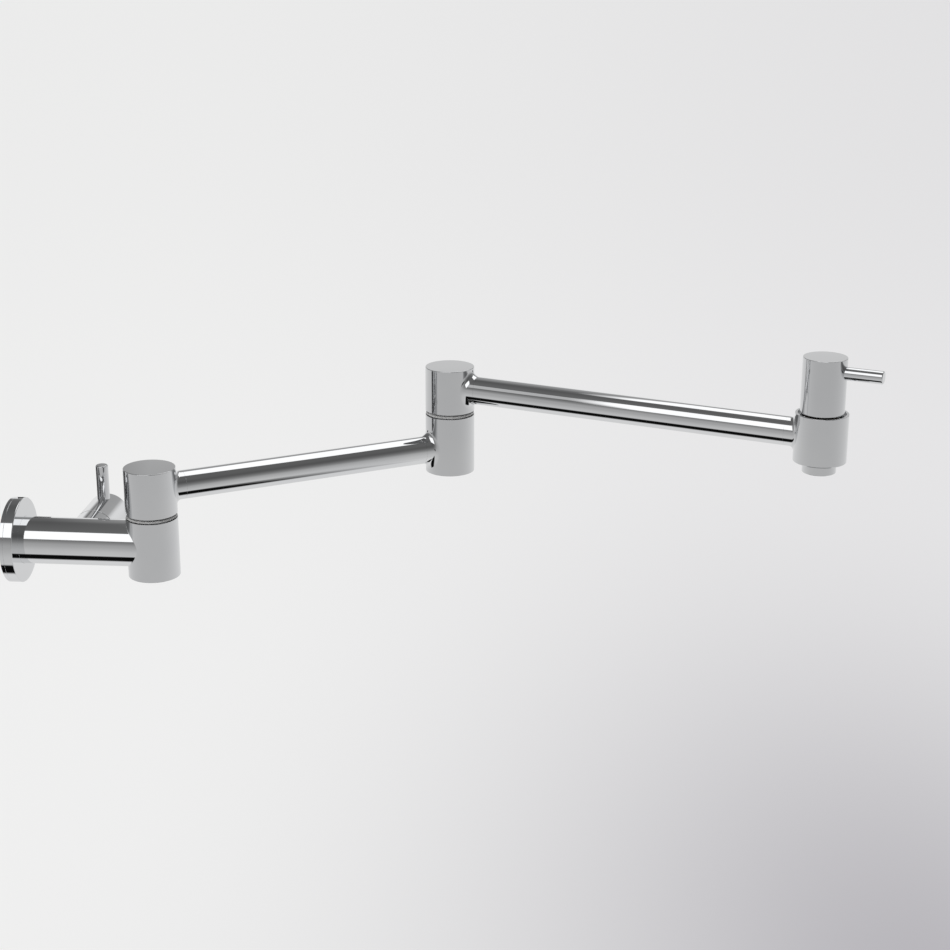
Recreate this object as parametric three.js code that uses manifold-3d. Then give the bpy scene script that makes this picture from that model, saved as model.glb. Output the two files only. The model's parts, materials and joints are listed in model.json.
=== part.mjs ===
// Wall mounted pot filler: two swivelling arms, a shut-off valve at the wall and one at the outlet.
// Units are millimetres, +Z is up, +X points out from the wall and the wall plane is x = 0.
// The body tube's axis lies on the X axis.

import * as THREE from 'three';
import { mergeVertices } from 'three/addons/utils/BufferGeometryUtils.js';
import Module from 'manifold-3d';

// Clearance between separate pieces.
const fitGap = 0.3;

// How far a cutting shape runs past the face it cuts, and a joined shape into its neighbour.
const overrun = 1;

// Wall flange: gasket, plate and escutcheon.
const flangeRadius = 28;
const escutcheonDepth = 6;
const escutcheonWall = 2;
const plateDepth = 2.5;
const gasketDepth = 1;
const gasketRecess = 0.5;
const gasketMargin = 2;

// Inlet adapter, which takes the wall's 1/2 in nipple.
const socketRadius = 9.3;
const socketDepth = 13.5;
const adapterRadius = 12;
const adapterBore = 6.5;
const adapterShoulder = 2;
const adapterNose = 27;
const adapterSealSpacing = 5;
const noseRoom = 1;
const bodyScrewSetback = 4;
const screwGrooveDepth = 2;

// Body: tube, valve boss and first swivel housing.
const bodyRadius = 15.5;
const valveReach = 49;
const swivelReach = 94.9;
const inletDrillRadius = 4;
const inletDrillOffset = 8.5;
const outletDrillRadius = 4.5;
const outletDrillOffset = 4;
const bossReach = 21.7;

// Swivels: a housing below the seam, a hub above it and a hollow spigot through both, with one seal
// a share of the bearing's length from either end.
const housingRadius = 17;
const housingWall = 3.5;
const shoulderDrop = 21.4;
const shoulderHeight = 42.7;
const elbowDrop = 17;
const elbowHeight = 43.45;
const hubHeight = 31.25;
const hubArmRise = 16.35;
const ringDepth = 1.2;
const ringSetback = 0.4;
const bearingLength = 16;
const spigotRadius = 9;
const spigotBore = 5.5;
const spigotThread = 6.6;
const spigotTail = 1;
const sealShare = 0.3;
const nutMargin = 1;
const nutDepth = 4.5;
const plugDepth = 6;
const plugSetback = 1.2;
const plugKeyRadius = 4.5;
const plugKeyDepth = 3;

// Arms: lengths between swivel axes, headings from straight out of the wall.
const innerArmLength = 216.7;
const outerArmLength = 263.2;
const innerArmHeading = 31.4;
const outerArmHeading = -21.1;
const armRadius = 9.525;
const armWall = 1.2;
const neckReach = 22;
const neckRoot = 4;
const neckBore = 6.5;
const neckSpigot = 8;
const plainFillet = 3;
const elbowFillet = 5;
const leastFillet = 0.5;

// Outlet body and aerator, whose insert has ring slots at these shares of its radius.
const outletDrop = 16.85;
const outletHeight = 31.45;
const seatWeb = 2;
const seatBore = 5;
const aeratorRadius = 10.8;
const aeratorDrop = 7.4;
const aeratorWall = 1.8;
const aeratorLip = 1.6;
const washerBore = 6;
const washerDepth = 0.9;
const flowRings = [0.4, 0.75];
const flowSlot = 0.6;
const flowDepth = 2;

// Valve insert: measured from the rim of the boss or of the outlet body.
const chamberRadius = 10.8;
const chamberDepth = 23.4;
const rimWall = 1.7;
const rimRecess = 3;
const headDepth = 6.8;
const headSetback = 1.2;
const hexRadius = 8;
const hexDepth = 3.6;
const sleeveRadius = 9.3;
const sleeveWall = 1;
const sealDepth = 1.2;
const discDepth = 2.8;
const discPort = 2.2;
const discPortSpread = 4.4;
const driveDepth = 3;
const driveWidth = 5;
const windowWidth = 7;
const stemRadius = 4.5;
const clipDepth = 1;
const clipWidth = 2.2;

// Handle and lever.
const handleRadius = 14.1;
const handleHeight = 35;
const handleGap = 1.5;
const handleWall = 2;
const handleCavity = 12.5;
const stemGrip = 7.5;
const leverRadius = 4.2;
const leverReach = 37.5;
const leverSeat = 6;
const leverDrop = 9.3;
const gripScrewRadius = 2;
const gripScrewSetback = 1.8;
const screwKeyRadius = 1;
const screwKeyDepth = 2;

// O-ring cords and how far they lie off their grooves.
const largeCord = 0.6;
const smallCord = 0.5;
const cordGap = 0.25;

// Small edge bevels.
const edgeBevel = 0.4;

// Facets of round shapes: large outside ones, inner ones, small ones, and around a cord.
// All but the last are multiples of 4, so that nested rounds have their corners in line.
const outerSides = 32;
const innerSides = 16;
const smallSides = 12;
const cordSides = 5;
const filletSteps = 3;

const wasm = await Module();
wasm.setup();

const finishes = {
  chrome: { color: 0xc8cacc, roughness: 0.06, metalness: 1 },
  brass: { color: 0xb5924c, roughness: 0.35, metalness: 1 },
  steel: { color: 0x9a9c9e, roughness: 0.3, metalness: 1 },
  rubber: { color: 0x161616, roughness: 0.8, metalness: 0 },
  ceramic: { color: 0xe9e7e1, roughness: 0.25, metalness: 0 },
  acetal: { color: 0xd9d9d4, roughness: 0.5, metalness: 0 },
};

// A geometry as a closed solid: only positions, shared vertices, no collapsed triangles, facing out.
function toSolid(geometry) {
  const bare = geometry.clone();
  bare.deleteAttribute('normal');
  bare.deleteAttribute('uv');
  const merged = mergeVertices(bare);
  const position = merged.getAttribute('position').array;
  const index = merged.getIndex().array;
  const triangles = [];
  let volume = 0;
  const a = new THREE.Vector3();
  const b = new THREE.Vector3();
  const c = new THREE.Vector3();
  for (let i = 0; i < index.length; i += 3) {
    const [p, q, r] = [index[i], index[i + 1], index[i + 2]];
    if (p !== q && q !== r && r !== p) {
      triangles.push(p, q, r);
      a.fromArray(position, 3 * p);
      b.fromArray(position, 3 * q);
      c.fromArray(position, 3 * r);
      volume += a.dot(b.cross(c));
    }
  }
  if (volume < 0) {
    triangles.reverse();
  }
  const mesh = new wasm.Mesh({
    numProp: 3,
    vertProperties: new Float32Array(position),
    triVerts: new Uint32Array(triangles),
  });
  return new wasm.Manifold(mesh);
}

function toGeometry(solid) {
  const mesh = solid.getMesh();
  const geometry = new THREE.BufferGeometry();
  geometry.setAttribute('position', new THREE.BufferAttribute(mesh.vertProperties, 3));
  geometry.setIndex(new THREE.BufferAttribute(mesh.triVerts, 1));
  return geometry;
}

function join(first, ...others) {
  return toGeometry(others.reduce((solid, other) => solid.add(toSolid(other)), toSolid(first)));
}

function cut(first, ...tools) {
  return toGeometry(tools.reduce((solid, tool) => solid.subtract(toSolid(tool)), toSolid(first)));
}

function overlap(first, second) {
  return toGeometry(toSolid(first).intersect(toSolid(second)));
}

// A profile of [radius, height] points turned about the Z axis.
function turned(profile, sides = innerSides) {
  const points = profile.map(([radius, height]) => new THREE.Vector2(radius, height));
  return new THREE.LatheGeometry(points, sides).rotateX(Math.PI / 2);
}

function rod(radius, low, high, sides = innerSides) {
  return turned([[0, low], [radius, low], [radius, high], [0, high]], sides);
}

function sleeve(inner, outer, low, high, sides = innerSides) {
  return turned([[inner, low], [outer, low], [outer, high], [inner, high], [inner, low]], sides);
}

// A rod whose far end, at the height called end, has a bevelled edge.
function bevelledRod(radius, start, end, sides = outerSides) {
  const inset = end - Math.sign(end - start) * edgeBevel;
  return turned([[0, start], [radius, start], [radius, inset], [radius - edgeBevel, end], [0, end]], sides);
}

function hexRod(radius, low, high) {
  return rod(radius, low, high, 6);
}

function cordRing(radius, cord, height, sides = innerSides) {
  return new THREE.TorusGeometry(radius, cord, cordSides, sides).translate(0, 0, height);
}

// Turns a geometry built along Z so that it runs along X, or along Y.
function alongX(geometry) {
  return geometry.rotateY(Math.PI / 2);
}

function alongY(geometry) {
  return geometry.rotateX(-Math.PI / 2);
}

function place(parent, name, geometry, finish) {
  const shown = toGeometry(toSolid(geometry));
  shown.computeVertexNormals();
  const mesh = new THREE.Mesh(shown, new THREE.MeshStandardMaterial(finishes[finish]));
  mesh.name = name;
  parent.add(mesh);
  return mesh;
}

// Widest fillet that the neck can have between the arm tube and the nearest end of its housing.
function fittedFillet(wanted, roomAbove, roomBelow) {
  const room = Math.min(roomAbove, roomBelow) - armRadius - edgeBevel;
  return Math.max(leastFillet, Math.min(wanted, room));
}

// Neck along +X from a round upright housing to an arm tube, with a ball rolled between the two.
// The ball's centre is a fillet away from both surfaces, and the arc joins its two contact points.
function filletedNeck(fillet) {
  const path = (turn) => {
    const outward = new THREE.Vector3(0, Math.cos(turn), Math.sin(turn));
    const centre = outward.clone().multiplyScalar(armRadius + fillet);
    centre.x = Math.sqrt((housingRadius + fillet) ** 2 - centre.y ** 2);
    const toTube = outward.clone().negate();
    const toHousing = new THREE.Vector3(-centre.x, -centre.y, 0).normalize();
    const swing = toTube.angleTo(toHousing);
    const points = [outward.clone().multiplyScalar(armRadius).setX(neckReach)];
    for (let step = 0; step <= filletSteps; step += 1) {
      const share = step / filletSteps;
      const ray = toTube.clone().multiplyScalar(Math.sin((1 - share) * swing));
      ray.addScaledVector(toHousing, Math.sin(share * swing)).divideScalar(Math.sin(swing));
      points.push(centre.clone().addScaledVector(ray, fillet));
    }
    points.push(points[points.length - 1].clone().setX(neckRoot));
    return points;
  };
  const paths = Array.from({ length: outerSides }, (_, i) => path((2 * Math.PI * i) / outerSides));
  const rows = paths[0].length;
  const positions = paths.flat().flatMap((point) => point.toArray());
  const outerCentre = paths.length * rows;
  const innerCentre = outerCentre + 1;
  positions.push(neckReach, 0, 0, neckRoot, 0, 0);
  const triangles = [];
  for (let i = 0; i < outerSides; i += 1) {
    const here = i * rows;
    const next = ((i + 1) % outerSides) * rows;
    for (let row = 0; row < rows - 1; row += 1) {
      triangles.push(here + row, here + row + 1, next + row);
      triangles.push(next + row, here + row + 1, next + row + 1);
    }
    triangles.push(outerCentre, here, next);
    triangles.push(innerCentre, next + rows - 1, here + rows - 1);
  }
  const geometry = new THREE.BufferGeometry();
  geometry.setAttribute('position', new THREE.Float32BufferAttribute(positions, 3));
  geometry.setIndex(triangles);
  return geometry;
}

// What a housing needs to carry an arm tube: the neck, the spigot inside the tube and the bore.
function neckShapes(fillet, height, heading) {
  const aim = (geometry) => geometry.rotateZ(heading).translate(0, 0, height);
  const spigotEnd = neckReach + neckSpigot;
  const tubeSpigot = alongX(rod(armRadius - armWall - fitGap, neckReach - overrun, spigotEnd));
  const bore = alongX(rod(neckBore, 0, spigotEnd + overrun));
  return { neck: aim(filletedNeck(fillet)), spigot: aim(tubeSpigot), bore: aim(bore) };
}

const turnAround = Math.PI;
const seamHalf = ringDepth / 2 + fitGap;
const cavityRadius = housingRadius - housingWall;
const bearingRadius = spigotRadius + fitGap;
const shelf = -seamHalf - bearingLength;

// Bores of a swivel housing, with the seam at height 0: the bearing and the cavity below it.
function housingBores(height) {
  const bearing = rod(bearingRadius, shelf - overrun, 0);
  const cavity = rod(cavityRadius, -height - overrun, shelf);
  return [bearing, cavity];
}

function housingShell(height) {
  return bevelledRod(housingRadius, -seamHalf, -height);
}

// Threaded plug and its O-ring, which close a housing of this height from below.
function addPlug(group, prefix, height) {
  const floor = -height + plugSetback;
  const radius = cavityRadius - fitGap;
  const grooveHalf = largeCord + cordGap;
  const groove = cavityRadius - 2 * grooveHalf;
  const middle = floor + plugDepth / 2;
  const disc = rod(radius, floor, floor + plugDepth);
  const ring = sleeve(groove, radius + overrun, middle - grooveHalf, middle + grooveHalf);
  const key = hexRod(plugKeyRadius, floor - overrun, floor + plugKeyDepth);
  place(group, `${prefix}_plug`, cut(disc, ring, key), 'brass');
  place(group, `${prefix}_plug_oring`, cordRing(groove + grooveHalf, largeCord, middle), 'rubber');
}

// Hub and all that turns with it, with the seam at height 0 and the arm along +X.
function addHub(group, prefix, wantedFillet) {
  const fillet = fittedFillet(wantedFillet, hubHeight - hubArmRise, hubArmRise - seamHalf);
  const { neck, spigot, bore } = neckShapes(fillet, hubArmRise, 0);
  const shell = bevelledRod(housingRadius, seamHalf, hubHeight);
  const blindBore = rod(bearingRadius, 0, hubArmRise + neckBore + overrun);
  place(group, `${prefix}_hub`, cut(join(shell, neck, spigot), blindBore, bore), 'chrome');

  const ringRadius = housingRadius - ringSetback;
  const ring = sleeve(bearingRadius, ringRadius, -ringDepth / 2, ringDepth / 2, outerSides);
  place(group, `${prefix}_ring`, ring, 'acetal');

  const low = shelf - fitGap - nutDepth - spigotTail;
  const tube = sleeve(spigotBore, spigotRadius, low, seamHalf + spigotThread);
  const grooveHalf = largeCord + cordGap;
  const groove = bearingRadius - 2 * grooveHalf;
  const upper = -seamHalf - sealShare * bearingLength;
  const lower = shelf + sealShare * bearingLength;
  const grooves = [upper, lower].map((middle) => (
    sleeve(groove, spigotRadius + overrun, middle - grooveHalf, middle + grooveHalf)
  ));
  place(group, `${prefix}_spigot`, cut(tube, ...grooves), 'brass');
  place(group, `${prefix}_oring_upper`, cordRing(groove + grooveHalf, largeCord, upper), 'rubber');
  place(group, `${prefix}_oring_lower`, cordRing(groove + grooveHalf, largeCord, lower), 'rubber');

  const nutTop = shelf - fitGap;
  const nutBlank = hexRod(cavityRadius - nutMargin, nutTop - nutDepth, nutTop);
  const nutBore = rod(bearingRadius, nutTop - nutDepth - overrun, nutTop + overrun);
  place(group, `${prefix}_nut`, cut(nutBlank, nutBore), 'brass');
}

function addArmTube(group, name, length) {
  const end = neckReach + fitGap;
  const tube = sleeve(armRadius - armWall, armRadius, end, length - end, outerSides);
  place(group, name, alongX(tube), 'chrome');
}

// Bores of a valve seat, with the rim at height 0 and the cartridge below it.
function valveBores(rimRadius) {
  const chamber = rod(chamberRadius, -chamberDepth, overrun);
  const recess = rod(rimRadius - rimWall, -rimRecess, overrun, outerSides);
  return [chamber, recess];
}

// Ceramic disc with two round ports opposite each other.
function portedDisc(radius, low, high) {
  const ports = [-discPortSpread, discPortSpread].map((offset) => (
    rod(discPort, low - overrun, high + overrun, smallSides).translate(offset, 0, 0)
  ));
  return cut(rod(radius, low, high), ...ports);
}

// Quarter-turn cartridge, handle and lever, with the rim at height 0 and the handle above it.
// The lever points along +X turned by leverTurn.
function addValve(group, prefix, leverTurn) {
  const fixedPart = new THREE.Group();
  const turningPart = new THREE.Group();
  turningPart.rotation.z = leverTurn;
  group.add(fixedPart, turningPart);

  const floor = -chamberDepth;
  const sealTop = floor + fitGap + sealDepth;
  const discLow = sealTop + fitGap;
  const discTop = discLow + discDepth;
  const movingLow = discTop + fitGap;
  const movingTop = movingLow + discDepth;
  const driveLow = movingTop + fitGap;
  const driveTop = driveLow + driveDepth;
  const pocketRadius = sleeveRadius - sleeveWall;
  const discRadius = pocketRadius - fitGap;
  const pocketTop = driveTop + 2 * fitGap;
  const headLow = -headSetback - headDepth;
  const hexTop = -headSetback + hexDepth;
  const stemBore = stemRadius + fitGap;

  const body = join(
    rod(sleeveRadius, discLow, headLow + overrun),
    rod(chamberRadius - fitGap, headLow, -headSetback),
    hexRod(hexRadius, -headSetback - overrun, hexTop),
  );
  const pocket = rod(pocketRadius, discLow - overrun, pocketTop);
  const stemHole = rod(stemBore, pocketTop - overrun, hexTop + overrun, smallSides);
  const window = new THREE.BoxGeometry(2 * (sleeveRadius + overrun), windowWidth, driveDepth);
  window.translate(0, 0, driveLow + driveDepth / 2);
  place(fixedPart, `${prefix}_cartridge`, cut(body, pocket, stemHole, window), 'brass');

  const seal = sleeve(seatBore + fitGap, discRadius, floor + fitGap, sealTop);
  place(fixedPart, `${prefix}_seat_seal`, seal, 'rubber');
  place(fixedPart, `${prefix}_fixed_disc`, portedDisc(discRadius, discLow, discTop), 'ceramic');
  const movingDisc = portedDisc(discRadius - fitGap, movingLow, movingTop).rotateZ(Math.PI / 2);
  place(turningPart, `${prefix}_moving_disc`, movingDisc, 'ceramic');

  const handleLow = handleGap;
  const handleTop = handleLow + handleHeight;
  const cavityTop = handleLow + handleCavity;
  const stemTop = cavityTop + stemGrip;
  const clipLow = hexTop + fitGap;
  const cordHeight = (pocketTop + hexTop) / 2;
  const cordHalf = smallCord + cordGap;
  const cordGroove = stemBore - 2 * cordHalf;
  const clipGroove = stemRadius - 2 * fitGap;
  const clipPlay = fitGap / 2;
  const clipInner = clipGroove + clipPlay;
  const clipOuter = clipInner + clipWidth;

  const driveBar = new THREE.BoxGeometry(2 * discRadius, driveWidth, driveDepth);
  driveBar.translate(0, 0, driveLow + driveDepth / 2);
  const drive = overlap(driveBar, rod(discRadius - fitGap, driveLow, driveTop));
  const stem = cut(
    rod(stemRadius, driveTop - overrun, stemTop, smallSides),
    sleeve(cordGroove, stemBore, cordHeight - cordHalf, cordHeight + cordHalf, smallSides),
    sleeve(clipGroove, stemBore, clipLow - clipPlay, clipLow + clipDepth + clipPlay, smallSides),
  );
  place(turningPart, `${prefix}_spindle`, join(drive, stem), 'brass');
  const cord = cordRing(cordGroove + cordHalf, smallCord, cordHeight, smallSides);
  place(turningPart, `${prefix}_spindle_oring`, cord, 'rubber');

  const clipMouth = new THREE.BoxGeometry(2 * clipOuter, clipInner, clipDepth + 2 * overrun);
  clipMouth.translate(clipOuter, 0, clipLow + clipDepth / 2);
  const clipRing = sleeve(clipInner, clipOuter, clipLow, clipLow + clipDepth, smallSides);
  place(turningPart, `${prefix}_spindle_clip`, cut(clipRing, clipMouth), 'steel');

  const leverHeight = handleTop - leverDrop;
  const screwHeight = cavityTop + stemGrip / 2;
  const shell = bevelledRod(handleRadius, handleLow, handleTop);
  const hollow = rod(handleRadius - handleWall, handleLow - overrun, cavityTop);
  const stemSocket = rod(stemBore, cavityTop - overrun, stemTop + fitGap, smallSides);
  const leverHole = alongX(rod(leverRadius + fitGap, leverSeat, handleRadius + overrun));
  leverHole.translate(0, 0, leverHeight);
  const screwHole = alongX(rod(gripScrewRadius + fitGap, -handleRadius - overrun, -overrun, smallSides));
  screwHole.translate(0, 0, screwHeight);
  place(turningPart, `${prefix}_handle`, cut(shell, hollow, stemSocket, leverHole, screwHole), 'chrome');

  const lever = alongX(bevelledRod(leverRadius, leverSeat + fitGap, leverReach, innerSides));
  place(turningPart, `${prefix}_lever`, lever.translate(0, 0, leverHeight), 'chrome');

  const screwOut = handleRadius - gripScrewSetback;
  const screw = rod(gripScrewRadius, -screwOut, -stemBore, smallSides);
  const screwKey = hexRod(screwKeyRadius, -screwOut - overrun, -screwOut + screwKeyDepth);
  const gripScrew = alongX(cut(screw, screwKey));
  place(turningPart, `${prefix}_handle_screw`, gripScrew.translate(0, 0, screwHeight), 'steel');
}

const potFiller = new THREE.Group();

// Wall flange.
const plateBack = gasketDepth - gasketRecess;
const plateFront = plateBack + plateDepth;
const escutcheonFront = plateFront + escutcheonDepth;
const plateHole = adapterRadius + fitGap;
const gasketRadius = flangeRadius - gasketMargin;

const gasket = sleeve(plateHole + 2 * fitGap, gasketRadius, 0, gasketDepth, outerSides);
place(potFiller, 'wall_gasket', alongX(gasket), 'rubber');

const plate = turned([
  [plateHole, gasketDepth],
  [gasketRadius + fitGap, gasketDepth],
  [gasketRadius + fitGap, plateBack],
  [flangeRadius, plateBack],
  [flangeRadius, plateFront],
  [plateHole, plateFront],
  [plateHole, gasketDepth],
], outerSides);
place(potFiller, 'wall_plate', alongX(plate), 'chrome');

const escutcheonHole = bodyRadius + fitGap;
const escutcheon = turned([
  [escutcheonHole, plateFront],
  [escutcheonHole + escutcheonWall, plateFront],
  [escutcheonHole + escutcheonWall, escutcheonFront - escutcheonWall],
  [flangeRadius - escutcheonWall, escutcheonFront - escutcheonWall],
  [flangeRadius - escutcheonWall, plateFront],
  [flangeRadius, plateFront],
  [flangeRadius, escutcheonFront - edgeBevel],
  [flangeRadius - edgeBevel, escutcheonFront],
  [escutcheonHole, escutcheonFront],
  [escutcheonHole, plateFront],
], outerSides);
place(potFiller, 'escutcheon', alongX(escutcheon), 'chrome');

// Inlet adapter with its two seals, and the screw that holds the body on it.
const shoulderFront = plateFront + adapterShoulder;
const noseEnd = shoulderFront + adapterNose;
const socketEnd = plateBack + socketDepth;
const adapterHousing = adapterRadius + fitGap;
const adapterGrooveHalf = largeCord + cordGap;
const adapterGroove = adapterHousing - 2 * adapterGrooveHalf;
const bodyScrewX = noseEnd - bodyScrewSetback;
const screwHoleRadius = gripScrewRadius + fitGap;
const rearSealX = socketEnd + adapterSealSpacing / 2;
const frontSealX = rearSealX + adapterSealSpacing;

const adapterBlank = turned([
  [socketRadius, plateBack],
  [adapterRadius, plateBack],
  [adapterRadius, plateFront],
  [bodyRadius - fitGap, plateFront],
  [bodyRadius - fitGap, shoulderFront],
  [adapterRadius, shoulderFront],
  [adapterRadius, noseEnd],
  [adapterBore, noseEnd],
  [adapterBore, socketEnd],
  [socketRadius, socketEnd],
  [socketRadius, plateBack],
]);
const sealGrooves = [rearSealX, frontSealX].map((middle) => (
  sleeve(adapterGroove, adapterHousing, middle - adapterGrooveHalf, middle + adapterGrooveHalf)
));
const screwGroove = sleeve(
  adapterRadius - screwGrooveDepth,
  adapterHousing,
  bodyScrewX - screwHoleRadius,
  bodyScrewX + screwHoleRadius,
);
const adapter = cut(adapterBlank, ...sealGrooves, screwGroove);
place(potFiller, 'inlet_adapter', alongX(adapter), 'brass');
const adapterCord = adapterGroove + adapterGrooveHalf;
place(potFiller, 'adapter_oring_rear', alongX(cordRing(adapterCord, largeCord, rearSealX)), 'rubber');
place(potFiller, 'adapter_oring_front', alongX(cordRing(adapterCord, largeCord, frontSealX)), 'rubber');

const bodyScrewLow = -bodyRadius + fitGap;
const bodyScrewHigh = -adapterRadius + screwGrooveDepth - fitGap;
const bodyScrewKey = hexRod(screwKeyRadius, bodyScrewLow - overrun, bodyScrewLow + screwKeyDepth);
const bodyScrew = cut(rod(gripScrewRadius, bodyScrewLow, bodyScrewHigh, smallSides), bodyScrewKey);
place(potFiller, 'body_set_screw', bodyScrew.translate(bodyScrewX, 0, 0), 'steel');

// Body: tube, valve boss and first swivel housing in one casting, with its water ways.
const shoulderSeam = shoulderHeight - shoulderDrop;
const bodyBack = shoulderFront + fitGap;
const boreEnd = noseEnd + noseRoom;
const seatFloor = bossReach - chamberDepth;

const bodyTube = alongX(rod(bodyRadius, bodyBack, swivelReach, outerSides));
const boss = alongY(rod(handleRadius, 0, bossReach, outerSides)).translate(valveReach, 0, 0);
const firstHousing = housingShell(shoulderHeight).translate(swivelReach, 0, shoulderSeam);
const adapterBoreTool = alongX(rod(adapterHousing, bodyBack - overrun, boreEnd));
const bodyScrewHole = rod(screwHoleRadius, -bodyRadius - overrun, overrun - adapterRadius, smallSides);
bodyScrewHole.translate(bodyScrewX, 0, 0);
const inletDrill = alongX(rod(inletDrillRadius, boreEnd - overrun, valveReach, smallSides));
inletDrill.translate(0, -inletDrillOffset, 0);
const seatHole = alongY(rod(seatBore, -inletDrillOffset, seatFloor + overrun, smallSides));
seatHole.translate(valveReach, 0, 0);
const outletDrill = alongX(rod(outletDrillRadius, valveReach, swivelReach - spigotRadius, smallSides));
outletDrill.translate(0, outletDrillOffset, 0);
const valveTools = valveBores(handleRadius).map((tool) => (
  alongY(tool).translate(valveReach, bossReach, 0)
));
const housingTools = housingBores(shoulderHeight).map((tool) => (
  tool.translate(swivelReach, 0, shoulderSeam)
));
const wallBody = cut(
  join(bodyTube, boss, firstHousing),
  adapterBoreTool,
  bodyScrewHole,
  inletDrill,
  seatHole,
  outletDrill,
  ...valveTools,
  ...housingTools,
);
place(potFiller, 'wall_body', wallBody, 'chrome');

// Wall valve: its axis runs along +Y and its lever points up.
const wallValve = new THREE.Group();
wallValve.position.set(valveReach, bossReach, 0);
wallValve.rotation.x = -Math.PI / 2;
potFiller.add(wallValve);
addValve(wallValve, 'wall', -Math.PI / 2);

// First swivel: the plug stays with the body, the hub carries the inner arm.
const shoulder = new THREE.Group();
shoulder.position.set(swivelReach, 0, shoulderSeam);
potFiller.add(shoulder);
addPlug(shoulder, 'base', shoulderHeight);

const innerArm = new THREE.Group();
innerArm.rotation.z = THREE.MathUtils.degToRad(innerArmHeading);
shoulder.add(innerArm);
addHub(innerArm, 'shoulder', plainFillet);

const innerTube = new THREE.Group();
innerTube.position.z = hubArmRise;
innerArm.add(innerTube);
addArmTube(innerTube, 'arm_tube_inner', innerArmLength);

// Elbow: its housing ends the inner arm, its hub carries the outer arm.
const elbowSeam = hubArmRise - elbowDrop + elbowHeight;
const elbow = new THREE.Group();
elbow.position.set(innerArmLength, 0, elbowSeam);
innerArm.add(elbow);

const elbowNeckHeight = elbowDrop - elbowHeight;
const elbowNeckFillet = fittedFillet(elbowFillet, -elbowNeckHeight - seamHalf, elbowDrop);
const elbowNeck = neckShapes(elbowNeckFillet, elbowNeckHeight, turnAround);
const elbowHousing = cut(
  join(housingShell(elbowHeight), elbowNeck.neck, elbowNeck.spigot),
  ...housingBores(elbowHeight),
  elbowNeck.bore,
);
place(elbow, 'elbow_housing', elbowHousing, 'chrome');
addPlug(elbow, 'elbow', elbowHeight);

const outerArm = new THREE.Group();
outerArm.rotation.z = THREE.MathUtils.degToRad(outerArmHeading - innerArmHeading);
elbow.add(outerArm);
addHub(outerArm, 'elbow', elbowFillet);

const outerTube = new THREE.Group();
outerTube.position.z = hubArmRise;
outerArm.add(outerTube);
addArmTube(outerTube, 'arm_tube_outer', outerArmLength);

// Outlet: its body ends the outer arm. Heights here are from the rim.
const outlet = new THREE.Group();
const outletNeckHeight = outletDrop - outletHeight;
outlet.position.set(outerArmLength, 0, hubArmRise - outletNeckHeight);
outerArm.add(outlet);

const outletFloor = -outletHeight;
const aeratorSocketTop = -chamberDepth - seatWeb;
const outletFillet = fittedFillet(plainFillet, -outletNeckHeight, outletDrop);
const outletNeck = neckShapes(outletFillet, outletNeckHeight, turnAround);
const outletBody = cut(
  join(
    bevelledRod(housingRadius, 0, outletFloor),
    outletNeck.neck,
    outletNeck.spigot,
  ),
  ...valveBores(housingRadius),
  rod(seatBore, aeratorSocketTop - overrun, overrun - chamberDepth, smallSides),
  rod(aeratorRadius, outletFloor - overrun, aeratorSocketTop, outerSides),
  outletNeck.bore,
);
place(outlet, 'outlet_body', outletBody, 'chrome');
addValve(outlet, 'outlet', 0);

// Aerator: washer, screwed shell and the insert that mixes air into the water.
const aeratorFace = outletFloor - aeratorDrop;
const washerTop = aeratorSocketTop - fitGap;
const washerLow = washerTop - washerDepth;
const threadTop = washerLow - fitGap;
const threadRadius = aeratorRadius - fitGap;
const insertRadius = threadRadius - aeratorWall;
const insertSeat = aeratorFace + aeratorLip;
const mouthRadius = insertRadius - aeratorLip / 2;

place(outlet, 'aerator_washer', sleeve(washerBore, threadRadius, washerLow, washerTop), 'rubber');
const aeratorShell = turned([
  [mouthRadius, aeratorFace],
  [aeratorRadius - edgeBevel, aeratorFace],
  [aeratorRadius, aeratorFace + edgeBevel],
  [aeratorRadius, outletFloor - fitGap],
  [threadRadius, outletFloor - fitGap],
  [threadRadius, threadTop],
  [insertRadius, threadTop],
  [insertRadius, insertSeat],
  [mouthRadius, insertSeat],
  [mouthRadius, aeratorFace],
], outerSides);
place(outlet, 'aerator_shell', aeratorShell, 'chrome');

const insertLow = insertSeat + fitGap;
const insertBlank = rod(insertRadius - fitGap, insertLow, threadTop);
const flowSlots = flowRings.map((share) => (
  sleeve(share * insertRadius - flowSlot, share * insertRadius, insertLow - overrun, insertLow + flowDepth)
));
place(outlet, 'aerator_insert', cut(insertBlank, ...flowSlots), 'acetal');

export default potFiller;
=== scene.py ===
# Wall mounted pot filler in polished chrome. +X points out of the wall, +Z is up, lengths are metres.
# The chrome pieces and what shows beside them are made here as smooth surfaces over the packed
# frame. The seals, discs and spindles inside keep the frame's own meshes and get new materials.
import json

import bpy
import numpy as np
from mathutils import Matrix, Vector


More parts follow.
